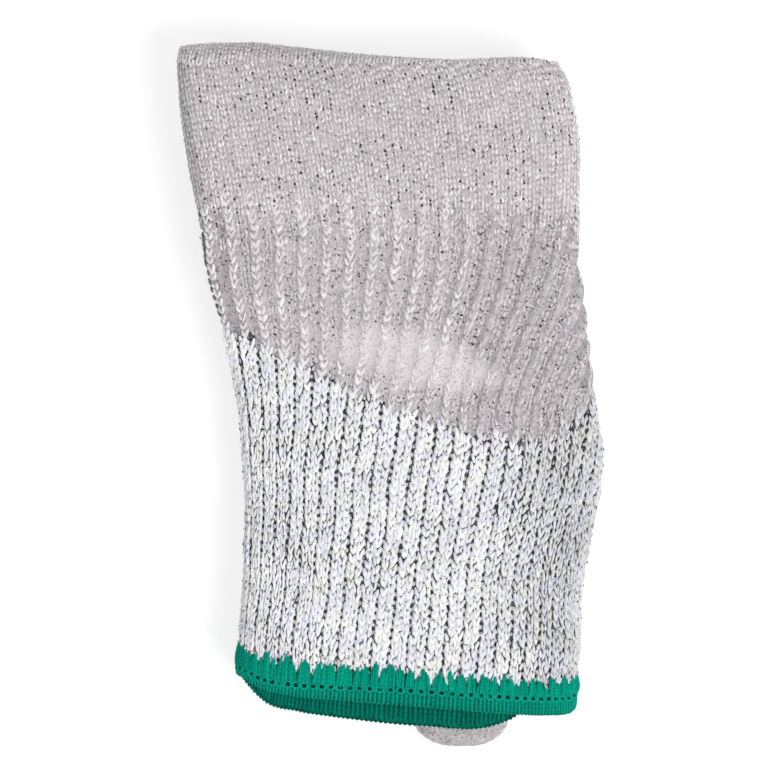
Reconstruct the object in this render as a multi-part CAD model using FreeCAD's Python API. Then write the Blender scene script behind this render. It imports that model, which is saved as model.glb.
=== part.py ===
"""Cut resistant knitted glove for carving, for the right hand, stored folded in half.

The hand half lies on the table, palm side down, with the thumb stall tucked under the palm.
The heel of the palm and the long ribbed cuff are folded back over it, palm side up.
Lengths run from the fold towards the hem, which is towards -Y.  Sizes are in millimetres.
"""

import FreeCAD, Part
import math
import os

from FreeCAD import Vector

# ---- fabric ----
fabric = 1.3          # thickness of the knitted wall, dip included
film = 0.3            # depth of the polyurethane dip, which lies flush in the palm side
bare_band = 1.2       # knit left bare at each crease, where the dip cracks away
rub_gap = 0.4         # clearance between layers and between pieces that hinge on each other

# ---- stalls ----
finger_height = 9.0
finger_width = {"index": 15.8, "middle": 19.8, "ring": 17.2, "little": 16.0}
finger_length = {"index": 67.0, "middle": 79.0, "ring": 70.0, "little": 56.0}
bone_share = {"root": 0.42, "mid": 0.30, "tip": 0.28}    # of each stall's length
tip_corner_share = 0.38    # corner radius of a tip, as a share of the stall's width
tip_wrap = 11.0       # length of each tip that the dip covers all round
thumb_height = 7.4
thumb_width = 19.0
thumb_length = 58.0
thumb_root_share = 0.52
thumb_slant = 10.0    # degrees that the tucked thumb turns towards the fingers
thumb_from_fold = 24.0    # from the fold to the middle of the thumb's root

# ---- hand half ----
palm_height = 7.6
palm_length = 66.0    # from the fold to the knuckles
palm_bulge = 13.0     # from the fold to where the palm reaches its full height
palm_level = 43.0     # from the fold to where the palm starts down to the knuckles
palm_right = 40.6     # index side of the knuckles
fold_height = 4.0     # each half's height at the fold
hand_fold_sides = (-43.0, 36.0)
hand_bulge_sides = (-41.3, 34.4)
hand_level_sides = (-34.1, 34.6)

# ---- heel and cuff half ----
heel_length = 32.6    # from the fold to the wrist
heel_height = 9.8     # at the wrist
heel_bulge_height = 8.5
cuff_height = 10.5
hem_height = 12.5
cuff_length = 103.0   # from the wrist to the hem's edge, along the middle
hem_turn = 6.5        # degrees that the hem slants across the glove
hem_tilt = 18.0       # degrees that the hem slants so that its underside runs ahead of its top
heel_fold_sides = (-45.3, 37.8)
heel_bulge_sides = (-44.8, 39.2)
wrist_sides = (-41.6, 40.2)
# share of the cuff's length, then its left and right sides
cuff_outline = [
    (0.17, -38.4, 41.2),
    (0.36, -34.0, 43.8),
    (0.46, -32.8, 45.4),
    (0.56, -31.6, 44.8),
    (0.75, -31.9, 41.9),
    (0.89, -33.4, 40.0),
    (1.00, -33.8, 39.4),
]
dip_left = 24.0       # from the wrist to the dip's edge at the left side
dip_right = 47.0      # and at the right side

# ---- hem and elastic ----
hem_depth = 5.6       # width of the overlocked band
hem_thread = 0.6      # thickness of the overlock thread on each face
chain_width = 1.1     # the locking chain along the band's edge
chain_height = 0.5
elastic_turns = 9
elastic_width = 0.7
elastic_height = 0.4
elastic_first = 12.0  # from the wrist to the first turn

# ---- places worked out from the sizes ----
palm_floor = thumb_height + rub_gap
palm_roof = palm_floor + palm_height
fold_floor = palm_floor + (palm_height - fold_height) / 2
fold_axis_z = fold_floor + fold_height + rub_gap / 2
heel_floor = palm_roof + rub_gap
cuff_floor = finger_height + rub_gap
hem_floor = cuff_floor + hem_thread + chain_height
half_gap = rub_gap / 2
thumb_hinge_x = hand_level_sides[1] + rub_gap
thumb_axis_z = thumb_height + half_gap
wrist_axis_z = heel_floor + heel_height + half_gap

finger_centre = {}
edge = palm_right
for name in finger_width:
    finger_centre[name] = edge - finger_width[name] / 2
    edge -= finger_width[name] + rub_gap
palm_left = edge + rub_gap


class Station:
    """One cross-section of a flattened tube: a stadium across X, at a distance from the fold."""

    def __init__(self, distance, sides, floor, height, turn=0.0, tilt=0.0):
        self.distance = distance
        self.left, self.right = sides
        self.floor, self.roof = floor, floor + height
        self.turn, self.tilt = turn, tilt

    def middle(self):
        return (self.floor + self.roof) / 2

    def between(self, other, share):
        """The station at a share of the way to another one."""
        def mix(a, b):
            return a + (b - a) * share
        return Station(
            mix(self.distance, other.distance),
            (mix(self.left, other.left), mix(self.right, other.right)),
            mix(self.floor, other.floor),
            mix(self.roof, other.roof) - mix(self.floor, other.floor),
            mix(self.turn, other.turn),
            mix(self.tilt, other.tilt),
        )

    def placed(self, wire):
        """The wire, drawn in the plane Y = 0, moved to this station and turned with its plane."""
        centre = Vector((self.left + self.right) / 2, 0, self.middle())
        wire.rotate(centre, Vector(1, 0, 0), -self.tilt)
        wire.rotate(centre, Vector(0, 0, 1), -self.turn)
        wire.translate(Vector(0, -self.distance, 0))
        return wire

    def wire(self, inset):
        return self.placed(
            stadium(self.left + inset, self.right - inset, self.floor + inset, self.roof - inset)
        )

    def slab(self, low, high, spread):
        """A rectangle across the station between two heights, wider than the tube by spread."""
        x0, x1 = self.left - spread, self.right + spread
        corners = [Vector(x0, 0, low), Vector(x1, 0, low), Vector(x1, 0, high), Vector(x0, 0, high)]
        return self.placed(Part.makePolygon(corners + corners[:1]))


def stadium(left, right, floor, roof):
    """A flat loop with straight long sides and round ends, in the plane Y = 0."""
    radius = (roof - floor) / 2
    middle = (floor + roof) / 2
    a, b = left + radius, right - radius
    return Part.Wire([
        Part.LineSegment(Vector(a, 0, floor), Vector(b, 0, floor)).toShape(),
        Part.Arc(Vector(b, 0, floor), Vector(right, 0, middle), Vector(b, 0, roof)).toShape(),
        Part.LineSegment(Vector(b, 0, roof), Vector(a, 0, roof)).toShape(),
        Part.Arc(Vector(a, 0, roof), Vector(left, 0, middle), Vector(a, 0, floor)).toShape(),
    ])


def loft(wires):
    return Part.makeLoft(wires, True, True)


def along(stations, distance):
    """The station at a distance, between the two stations around it."""
    for a, b in zip(stations, stations[1:]):
        if distance <= b.distance:
            break
    return a.between(b, (distance - a.distance) / (b.distance - a.distance))


def tube(stations, outer_inset, inner_inset):
    outside = loft([s.wire(outer_inset) for s in stations])
    return outside.cut(loft([s.wire(inner_inset) for s in stations]))


def half_film(stations, over):
    """The dip on one face of a tube: over is True for its top half and False for its lower half."""
    first = stations[0].distance + bare_band
    last = stations[-1].distance - bare_band
    inner = [s for s in stations if first < s.distance < last]
    covered = [along(stations, first)] + inner + [along(stations, last)]
    margin = 2.0
    if over:
        keep = loft([s.slab(s.middle(), s.roof + margin, margin) for s in covered])
    else:
        keep = loft([s.slab(s.floor - margin, s.middle(), margin) for s in covered])
    return tube(stations, 0, film).common(keep)


# ---- stalls: straight stadium tubes along -Y, with a round tip ----

def stall_body(width, height, inset, start, end):
    """A solid stadium bar from start to end, measured along -Y."""
    face = Part.Face(stadium(-width / 2 + inset, width / 2 - inset, inset, height - inset))
    face.translate(Vector(0, -start, 0))
    return face.extrude(Vector(0, start - end, 0))


def stall_end(width, height, inset, length):
    """The blunt end of the bar, with two round corners and a round rim."""
    radius = height / 2 - inset
    corner = tip_corner_share * width
    reach = corner - inset
    across = width / 2 - corner
    profile = Part.Wire([
        Part.LineSegment(Vector(0, 0, inset), Vector(0, radius - reach, inset)).toShape(),
        Part.Arc(
            Vector(0, radius - reach, inset),
            Vector(0, -reach, height / 2),
            Vector(0, radius - reach, height - inset),
        ).toShape(),
        Part.LineSegment(Vector(0, radius - reach, height - inset), Vector(0, 0, height - inset)).toShape(),
        Part.LineSegment(Vector(0, 0, height - inset), Vector(0, 0, inset)).toShape(),
    ])
    face = Part.Face(profile)
    end = face.extrude(Vector(2 * across, 0, 0))
    end.translate(Vector(-across, 0, 0))
    for side in (-1, 1):
        quarter = face.revolve(Vector(0, 0, 0), Vector(0, 0, 1), 90 * side)
        quarter.translate(Vector(side * across, 0, 0))
        end = end.fuse(quarter)
    end.translate(Vector(0, corner - length, 0))
    return end


def stall_bar(width, height, inset, start, end, length):
    """The bar from start to end, closed by the blunt tip where end is the stall's length."""
    if end < length:
        return stall_body(width, height, inset, start, end)
    straight = stall_body(width, height, inset, start, length - tip_corner_share * width)
    return straight.fuse(stall_end(width, height, inset, length)).removeSplitter()


def stall_piece(width, height, length, start, end, film_below):
    """The knitted tube and the dip of one stretch of a stall."""
    envelope = stall_bar(width, height, 0, start, end, length)
    under_film = stall_bar(width, height, film, start, end, length)
    inside = stall_bar(width, height, fabric, start, end, length)
    skin = envelope.cut(under_film)
    reach = width + length
    covered = end - start - (bare_band if end == length else 2 * bare_band)
    palm_side = Part.makeBox(2 * reach, covered, height, Vector(-reach, -start - bare_band - covered, 0))
    palm_side.translate(Vector(0, 0, -height / 2 if film_below else height / 2))
    dip = skin.common(palm_side)
    if end == length:
        wrap = Part.makeBox(2 * reach, tip_wrap, height, Vector(-reach, -length, 0))
        dip = dip.fuse(skin.common(wrap)).removeSplitter()
    return envelope.cut(inside).cut(dip), dip


parts = {}


def make_fingers():
    for name, length in finger_length.items():
        start = half_gap
        for bone, share in bone_share.items():
            end = length if bone == "tip" else start + share * length
            pieces = stall_piece(
                finger_width[name], finger_height, length, start, end, film_below=True
            )
            for shape, suffix in zip(pieces, ("knit", "dip")):
                shape.translate(Vector(finger_centre[name], -palm_length, 0))
                parts[f"{name}_{bone}_{suffix}"] = shape
            hinges[f"{name}_{bone}"] = Vector(finger_centre[name], -palm_length - start + half_gap, 0)
            start = end + rub_gap


def make_thumb():
    """The thumb stall is built like a finger, turned across the palm and cut square at its crease."""
    crease = Part.makeBox(400, 400, 40, Vector(thumb_hinge_x - half_gap, -200, -10))
    root_end = thumb_root_share * thumb_length
    overrun = -thumb_width    # lets the slanted root reach past its crease before it is cut
    stretches = {"root": (overrun, root_end), "tip": (root_end + rub_gap, thumb_length)}
    turn = -(90 - thumb_slant)
    for bone, (start, end) in stretches.items():
        pieces = stall_piece(thumb_width, thumb_height, thumb_length, start, end, film_below=False)
        for shape, suffix in zip(pieces, ("knit", "dip")):
            shape.rotate(Vector(0, 0, 0), Vector(0, 0, 1), turn)
            shape.translate(Vector(thumb_hinge_x, -thumb_from_fold, 0))
            parts[f"thumb_{bone}_{suffix}"] = shape.cut(crease)
    hinges["thumb_root"] = Vector(thumb_hinge_x, -thumb_from_fold, thumb_axis_z)
    reach = root_end + half_gap
    slant = math.radians(thumb_slant)
    hinges["thumb_tip"] = Vector(
        thumb_hinge_x - reach * math.cos(slant), -thumb_from_fold - reach * math.sin(slant), 0
    )


# ---- lofted tubes ----

def palm_stations():
    return [
        Station(half_gap, hand_fold_sides, fold_floor, fold_height),
        Station(palm_bulge, hand_bulge_sides, palm_floor, palm_height),
        Station(palm_level, hand_level_sides, palm_floor, palm_height),
        Station(palm_length - half_gap, (palm_left, palm_right), 0, finger_height),
    ]


def heel_stations():
    return [
        Station(half_gap, heel_fold_sides, fold_axis_z + half_gap, fold_height),
        Station(palm_bulge, heel_bulge_sides, heel_floor, heel_bulge_height),
        Station(heel_length - half_gap, wrist_sides, heel_floor, heel_height),
    ]


def cuff_stations():
    """From the wrist down over the slope of the palm, then level over the fingers to the hem."""
    outline = [Station(heel_length + half_gap, wrist_sides, heel_floor, heel_height)]
    for share, left, right in cuff_outline[:-1]:
        outline.append(Station(heel_length + share * cuff_length, (left, right), heel_floor, heel_height))
    distances = {s.distance for s in outline}
    distances |= {d for d in (palm_level, palm_length) if min(distances) < d < max(distances)}
    stations = []
    for distance in sorted(distances):
        station = along(outline, distance)
        down = (distance - palm_level) / (palm_length - palm_level)
        down = min(max(down, 0.0), 1.0)
        station.floor = heel_floor + (cuff_floor - heel_floor) * down
        station.roof = station.floor + heel_height + (cuff_height - heel_height) * down
        stations.append(station)
    hem_sides = cuff_outline[-1][1:]
    stations.append(
        Station(heel_length + cuff_length, hem_sides, hem_floor, hem_height, hem_turn, hem_tilt)
    )
    return stations


def make_palm():
    stations = palm_stations()
    dip = half_film(stations, over=False)
    wide = thumb_width - thumb_height
    high = palm_height - 2 * fabric
    deep = palm_height
    corner = Vector(
        hand_bulge_sides[1] - deep, -thumb_from_fold - wide / 2, palm_floor + (palm_height - high) / 2
    )
    thumb_hole = Part.makeBox(2 * deep, wide, high, corner)
    parts["palm_knit"] = tube(stations, 0, fabric).cut(dip).cut(thumb_hole)
    parts["palm_dip"] = dip.cut(thumb_hole)


def make_heel():
    stations = heel_stations()
    dip = half_film(stations, over=True)
    parts["heel_knit"] = tube(stations, 0, fabric).cut(dip)
    parts["heel_dip"] = dip


def dip_edge(x):
    """Where the edge of the cuff's dip crosses the glove, as a place along Y."""
    share = (x - wrist_sides[0]) / (wrist_sides[1] - wrist_sides[0])
    return -heel_length - dip_left - (dip_right - dip_left) * share


def make_cuff():
    stations = cuff_stations()
    far = 2 * cuff_length
    corners = [
        Vector(-far, dip_edge(-far), 0),
        Vector(far, dip_edge(far), 0),
        Vector(far, far, 0),
        Vector(-far, far, 0),
    ]
    above_edge = Part.Face(Part.makePolygon(corners + corners[:1])).extrude(Vector(0, 0, far))
    dip = half_film(stations, over=True).common(above_edge)
    parts["cuff_dip"] = dip
    wall = tube(stations, 0, fabric)
    parts["cuff_rib"] = wall.cut(dip)
    rings = []
    first = heel_length + elastic_first
    last = stations[-2].distance
    for turn in range(elastic_turns):
        at = first + (last - first) * turn / (elastic_turns - 1)
        pair = [along(stations, at - elastic_width / 2), along(stations, at + elastic_width / 2)]
        rings.append(tube(pair, fabric, fabric + elastic_height).cut(wall))
    parts["cuff_elastic"] = Part.makeCompound(rings)


def make_hem():
    """The overlock threads wrap the cuff's raw edge on both faces, and a chain locks their edge."""
    stations = cuff_stations()
    start = along(stations, stations[-1].distance - hem_depth)
    past = along(stations, stations[-1].distance)
    past.distance += hem_thread
    band = tube([start, past], -hem_thread, fabric + hem_thread)
    parts["hem_overlock"] = band.cut(tube(stations, 0, fabric))
    chain_start = along([start, past], past.distance - 2 * chain_width)
    chain_end = along([start, past], past.distance - chain_width)
    parts["hem_chain"] = tube([chain_start, chain_end], -hem_thread - chain_height, -hem_thread)


# ---- the fabric of the two creases, which turns back on itself ----

def crease_web(floor, roof, length):
    """Half of a round bar with a slit, along X: fabric that runs from one layer round to the other."""
    radius = (roof - floor) / 2
    bar = Part.makeCylinder(radius, length, Vector(0, 0, floor + radius), Vector(1, 0, 0))
    slit = Part.makeCylinder(half_gap, length, Vector(0, 0, floor + radius), Vector(1, 0, 0))
    ahead = Part.makeBox(length, radius, 2 * radius, Vector(0, half_gap, floor))
    return bar.cut(slit).common(ahead)


def make_webs():
    left = max(hand_fold_sides[0], heel_fold_sides[0])
    right = min(hand_fold_sides[1], heel_fold_sides[1])
    fold = crease_web(fold_floor, fold_axis_z + half_gap + fold_height, right - left)
    fold.translate(Vector(left, 0, 0))
    parts["fold_web"] = fold
    depth = palm_height / 2
    length = thumb_width - thumb_height
    web = crease_web(thumb_axis_z - depth, thumb_axis_z + depth, length)
    web.rotate(Vector(0, 0, 0), Vector(0, 0, 1), -90)
    web.translate(Vector(thumb_hinge_x, -thumb_from_fold + length / 2, 0))
    parts["thumb_web"] = web


hinges = {
    "fold": Vector(0, 0, fold_axis_z),
    "wrist": Vector(0, -heel_length, wrist_axis_z),
}
make_fingers()
make_thumb()
make_palm()
make_heel()
make_cuff()
make_hem()
make_webs()

# the origin is under the middle of the whole glove
box = Part.makeCompound(list(parts.values())).optimalBoundingBox()
shift = Vector(-(box.XMin + box.XMax) / 2, -(box.YMin + box.YMax) / 2, -box.ZMin)
os.makedirs("parts", exist_ok=True)
for name, shape in parts.items():
    shape.translate(shift)
    shape.exportStep(f"parts/{name}.step")
    state = "ok" if shape.isValid() else "INVALID"
    print(f"{name:20s} {state} solids {len(shape.Solids)} volume {shape.Volume:9.1f} mm3")
for name, place in hinges.items():
    spot = place + shift
    print(f"hinge {name:14s} {spot.x:8.3f} {spot.y:8.3f} {spot.z:8.3f}")
print(f"size {box.XLength:.2f} {box.YLength:.2f} {box.ZLength:.2f}")
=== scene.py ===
import bpy
import math
import numpy as np
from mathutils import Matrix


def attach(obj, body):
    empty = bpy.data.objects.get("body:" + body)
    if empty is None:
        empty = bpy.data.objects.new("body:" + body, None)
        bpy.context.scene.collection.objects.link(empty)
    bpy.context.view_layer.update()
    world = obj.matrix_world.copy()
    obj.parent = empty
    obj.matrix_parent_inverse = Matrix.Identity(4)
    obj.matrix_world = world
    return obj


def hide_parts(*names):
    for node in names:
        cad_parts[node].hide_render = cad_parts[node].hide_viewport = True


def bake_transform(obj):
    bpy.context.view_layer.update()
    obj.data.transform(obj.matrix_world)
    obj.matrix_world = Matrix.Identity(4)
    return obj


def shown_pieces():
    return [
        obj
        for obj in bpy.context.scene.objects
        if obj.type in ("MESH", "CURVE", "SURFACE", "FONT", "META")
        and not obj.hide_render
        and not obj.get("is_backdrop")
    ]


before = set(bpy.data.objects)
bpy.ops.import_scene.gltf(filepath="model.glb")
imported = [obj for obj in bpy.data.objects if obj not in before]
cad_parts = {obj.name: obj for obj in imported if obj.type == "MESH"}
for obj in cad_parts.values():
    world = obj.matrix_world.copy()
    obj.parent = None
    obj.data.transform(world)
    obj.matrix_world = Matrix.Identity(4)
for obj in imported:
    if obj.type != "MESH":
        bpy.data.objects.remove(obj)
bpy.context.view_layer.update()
mm = 0.001


# eases from 0 at low to 1 at high
def smoothStep(low, high, value):
    share = np.clip((np.asarray(value, float) - low) / (high - low), 0, 1)
    return share * share * (3 - 2 * share)


# a smooth line through (place, value) knots
def flowing(knots, value):
    xs, ys = np.array(knots, float).T
    slope = np.gradient(ys, xs)
    at = np.clip(value, xs[0], xs[-1])
    i = np.clip(np.searchsorted(xs, at, side="right") - 1, 0, len(xs) - 2)
    h = xs[i + 1] - xs[i]
    t = (at - xs[i]) / h
    rise = (2 * t ** 3 - 3 * t ** 2 + 1) * ys[i] + (3 * t ** 2 - 2 * t ** 3) * ys[i + 1]
    return rise + h * ((t ** 3 - 2 * t ** 2 + t) * slope[i] + (t ** 3 - t ** 2) * slope[i + 1])


# soft random waves of about unit height, with features of the size given
def ripple(seed, size, *where):
    rng = np.random.default_rng(seed)
    total = 0
    for wave in range(8):
        direction = rng.normal(size=len(where))
        direction *= 2 * math.pi / (size * rng.uniform(0.7, 1.7)) / np.linalg.norm(direction)
        total = total + np.sin(sum(d * w for d, w in zip(direction, where)) + rng.uniform(0, 6.28))
    return total / 8 ** 0.5 * 1.2


def mixed(a, b, share):
    return a + (b - a) * share


def unit(vectors):
    return vectors / np.maximum(np.linalg.norm(vectors, axis=-1, keepdims=True), 1e-9)


# sRGB hex to linear colour
def linear(colour):
    parts = [int(colour[i:i + 2], 16) / 255 for i in (1, 3, 5)]
    return [p / 12.92 if p <= 0.04045 else ((p + 0.055) / 1.055) ** 2.4 for p in parts] + [1]


# adds a node; an input is a link, a hex colour or a plain value
def addNode(tree, kind, inputs=(), **settings):
    node = tree.nodes.new(kind)
    for key, value in settings.items():
        setattr(node, key, value)
    for name, value in dict(inputs).items():
        if isinstance(value, bpy.types.NodeSocket):
            tree.links.new(value, node.inputs[name])
        elif isinstance(value, str) and value.startswith("#"):
            node.inputs[name].default_value = linear(value)
        else:
            node.inputs[name].default_value = value
    return node


def startMaterial(name):
    material = bpy.data.materials.new(name)
    material.use_nodes = True
    material.node_tree.nodes.clear()
    return material, material.node_tree


# ends a material in a surface with relief, whose depth is in millimetres
def endMaterial(material, tree, colour, relief, strength, depth, surface):
    bump = addNode(tree, "ShaderNodeBump", {"Height": relief, "Strength": strength, "Distance": depth * mm})
    inputs = {"Base Color": colour, "IOR": 1.5, "Normal": bump.outputs[0]} | surface
    bsdf = addNode(tree, "ShaderNodeBsdfPrincipled", inputs)
    addNode(tree, "ShaderNodeOutputMaterial", {"Surface": bsdf.outputs[0]})
    return material


def attribute(tree, name):
    return addNode(tree, "ShaderNodeAttribute", attribute_name=name).outputs["Fac"]


def blendColour(tree, share, a, b, mode="MIX"):
    return addNode(tree, "ShaderNodeMix", {0: share, 6: a, 7: b}, data_type="RGBA", blend_type=mode).outputs[2]


# noise whose features are of the size given in millimetres
def noise(tree, size, detail):
    where = addNode(tree, "ShaderNodeTexCoord").outputs["Object"]
    return addNode(
        tree, "ShaderNodeTexNoise", {"Vector": where, "Scale": 1 / (size * mm), "Detail": detail}
    ).outputs["Fac"]


def between(tree, value, low, high, toLow=0.0, toHigh=1.0):
    return addNode(
        tree, "ShaderNodeMapRange",
        {"Value": value, "From Min": low, "From Max": high, "To Min": toLow, "To Max": toHigh},
        interpolation_type="SMOOTHSTEP",
    ).outputs["Result"]


def calculate(tree, kind, a, b=0.0):
    return addNode(tree, "ShaderNodeMath", {0: a, 1: b}, operation=kind).outputs[0]


# plies of a yarn: bands that run slantwise along each stitch, in the stitch's own coordinates
def plies(tree, turns, slant):
    leaf = addNode(tree, "ShaderNodeUVMap", uv_map="leaf").outputs["UV"]
    parts = addNode(tree, "ShaderNodeSeparateXYZ", {"Vector": leaf}).outputs
    angle = calculate(tree, "ADD", calculate(tree, "MULTIPLY", parts[0], turns * 6.28),
                      calculate(tree, "MULTIPLY", parts[1], slant * 6.28))
    return calculate(tree, "SINE", angle)


# darkens a colour by the tint attribute, which holds painted shade as well as the stitches' own tone
def tinted(tree, colour):
    tint = calculate(tree, "MAXIMUM", attribute(tree, "tint"), 0.0)
    grey = addNode(tree, "ShaderNodeCombineXYZ", {"X": tint, "Y": tint, "Z": tint})
    return blendColour(tree, 1.0, colour, grey.outputs[0], "MULTIPLY")


# spun high strength yarn: bare, it is white and matt with dark fibres; under the dip, grey with a soft shine
def yarnMaterial():
    material, tree = startMaterial("cut_resistant_yarn")
    coat = attribute(tree, "coat")
    ply = plies(tree, 1.6, 1.5)
    fine = noise(tree, 0.5, 5.0)
    wide = noise(tree, 5.0, 2.0)
    warm = noise(tree, 4.0, 3.0)
    bare = blendColour(tree, between(tree, warm, 0.4, 0.6), "#dfdfe7", "#e3e3e2")
    bare = blendColour(tree, between(tree, fine, 0.60, 0.72, 0.0, 0.8), bare, "#45464d")
    # painted shade: the grooves between the yarn's plies are darkened
    bare = blendColour(tree, between(tree, ply, 0.2, 1.0, 0.0, 0.12), bare, "#8b8b93")
    dipped = blendColour(tree, between(tree, wide, 0.35, 0.65), "#d8d1d4", "#d1cdce")
    dipped = blendColour(tree, between(tree, fine, 0.52, 0.70, 0.0, 0.65), dipped, "#837e82")
    colour = tinted(tree, blendColour(tree, coat, bare, dipped))
    relief = calculate(tree, "ADD", calculate(tree, "MULTIPLY", ply, 0.5), calculate(tree, "MULTIPLY", fine, 1.2))
    return endMaterial(material, tree, colour, relief, 0.45, 0.12, {
        "Roughness": between(tree, coat, 0.0, 1.0, 0.85, 0.5), "Sheen Weight": 0.12, "Sheen Roughness": 0.5})


# what lies behind the stitches: the gaps of the bare knit, near black with painted shade and dark fibres, and the
# foamed film of the dip, matt and pitted
def groundMaterial():
    material, tree = startMaterial("polyurethane_film_and_gaps")
    fine = noise(tree, 0.55, 4.0)
    mid = noise(tree, 1.6, 3.0)
    wide = noise(tree, 9.0, 2.0)
    film = blendColour(tree, between(tree, wide, 0.4, 0.6), "#b9b1b5", "#b2aeaf")
    film = blendColour(tree, between(tree, mid, 0.45, 0.65, 0.0, 0.55), film, "#989195")
    film = blendColour(tree, between(tree, fine, 0.54, 0.65, 0.0, 0.8), film, "#625d61")
    smooth = blendColour(tree, between(tree, fine, 0.5, 0.7), "#c9c3c6", "#a49ea1")
    film = blendColour(tree, attribute(tree, "thick"), film, smooth)
    # painted shade: the ground in the gaps between the bare stitches is near black, for the shade there and the
    # dark fibres
    gap = blendColour(tree, between(tree, fine, 0.5, 0.66), "#17181b", "#8a8a90")
    colour = tinted(tree, blendColour(tree, between(tree, attribute(tree, "coat"), 0.2, 0.45), gap, film))
    relief = calculate(tree, "ADD", fine, calculate(tree, "MULTIPLY", mid, 1.5))
    return endMaterial(material, tree, colour, relief, 0.8, 0.4, {"Roughness": 0.55})


# dyed polyester overlock thread: twisted plies of a strong flat green, with hardly any shine
def threadMaterial():
    material, tree = startMaterial("green_polyester_thread")
    ply = plies(tree, 0.8, 6.0)
    fine = noise(tree, 0.4, 3.0)
    colour = blendColour(tree, between(tree, fine, 0.35, 0.7), "#019a84", "#02826d")
    # painted shade: the grooves between the thread's plies are a darker green
    colour = tinted(tree, blendColour(tree, between(tree, ply, 0.0, 1.0, 0.0, 0.3), colour, "#02604f"))
    relief = calculate(tree, "ADD", calculate(tree, "MULTIPLY", ply, 0.6), fine)
    return endMaterial(material, tree, colour, relief, 0.4, 0.12, {"Roughness": 0.8, "Specular IOR Level": 0.05})


# matt fabric in shade: the dark inside of the cuff, and the green ground under the hem's threads
def shadedMaterial(name, light, dark, gloss):
    material, tree = startMaterial(name)
    fine = noise(tree, 0.7, 3.0)
    colour = blendColour(tree, between(tree, fine, 0.4, 0.65), light, dark)
    return endMaterial(material, tree, colour, fine, 0.5, 0.3, {"Roughness": 0.9, "Specular IOR Level": gloss})


yarn = yarnMaterial()
ground = groundMaterial()
thread = threadMaterial()
threadGround = shadedMaterial("thread_ground", "#026b59", "#014a3d", 0.05)
print("materials made")


# the flattened tubes: on their ring, g runs from 0 at the left edge to 1 at the right across the palm side,
# and from 1 to 2 back across the other side
def sectionRow(left, right, floor, roof, powers):
    steps = 260
    angle = np.linspace(-math.pi / 2, math.pi / 2, 301)
    u = np.sin(angle)
    power = np.where(u < 0, powers[0], powers[1])
    v = np.sqrt(np.maximum(1 - np.abs(u) ** power, 0))
    a, b = (right - left) / 2, (roof - floor) / 2
    length = np.concatenate([[0], np.cumsum(np.hypot(np.diff(u) * a, np.diff(v) * b))])
    share = np.linspace(0, 1, steps + 1)
    across = np.interp(share, length / length[-1], u)
    up = np.interp(share, length / length[-1], v)
    x = (left + right) / 2 + np.concatenate([across, across[-2:0:-1]]) * a
    return x, np.concatenate([up, -up[-2:0:-1]])


# a table of a tube's sections, one for each millimetre from the fold, looked up between its rows and columns
def sectionTable(size, length, powers):
    rows = [{edge: flowing(size[edge], d) for edge in ("left", "right", "floor", "roof")} | {"powers": powers(d)}
            for d in np.arange(0, length, 1.0)]
    made = [sectionRow(**row) for row in rows]
    return {
        "at": np.arange(0, length, 1.0),
        "x": np.array([m[0] for m in made]),
        "level": np.array([m[1] for m in made]),
        "middle": np.array([(r["floor"] + r["roof"]) / 2 for r in rows]),
        "half": np.array([(r["roof"] - r["floor"]) / 2 for r in rows]),
    }


def lookUp(table, g, at):
    columns = table["x"].shape[1]
    g, at = np.broadcast_arrays(np.asarray(g, float) % 2, np.asarray(at, float))
    column = g / 2 * columns
    c0 = np.floor(column).astype(int)
    fc = column - c0
    c1 = (c0 + 1) % columns
    c0 = c0 % columns
    row = np.interp(at, table["at"], np.arange(len(table["at"])))
    r0 = np.clip(np.floor(row).astype(int), 0, len(table["at"]) - 2)
    fr = row - r0

    def look(values):
        upper = mixed(values[r0, c0], values[r0, c1], fc)
        lower = mixed(values[r0 + 1, c0], values[r0 + 1, c1], fc)
        return mixed(upper, lower, fr)
    return (look(table["x"]), look(table["level"]),
            mixed(table["middle"][r0], table["middle"][r0 + 1], fr),
            mixed(table["half"][r0], table["half"][r0 + 1], fr))


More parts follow.
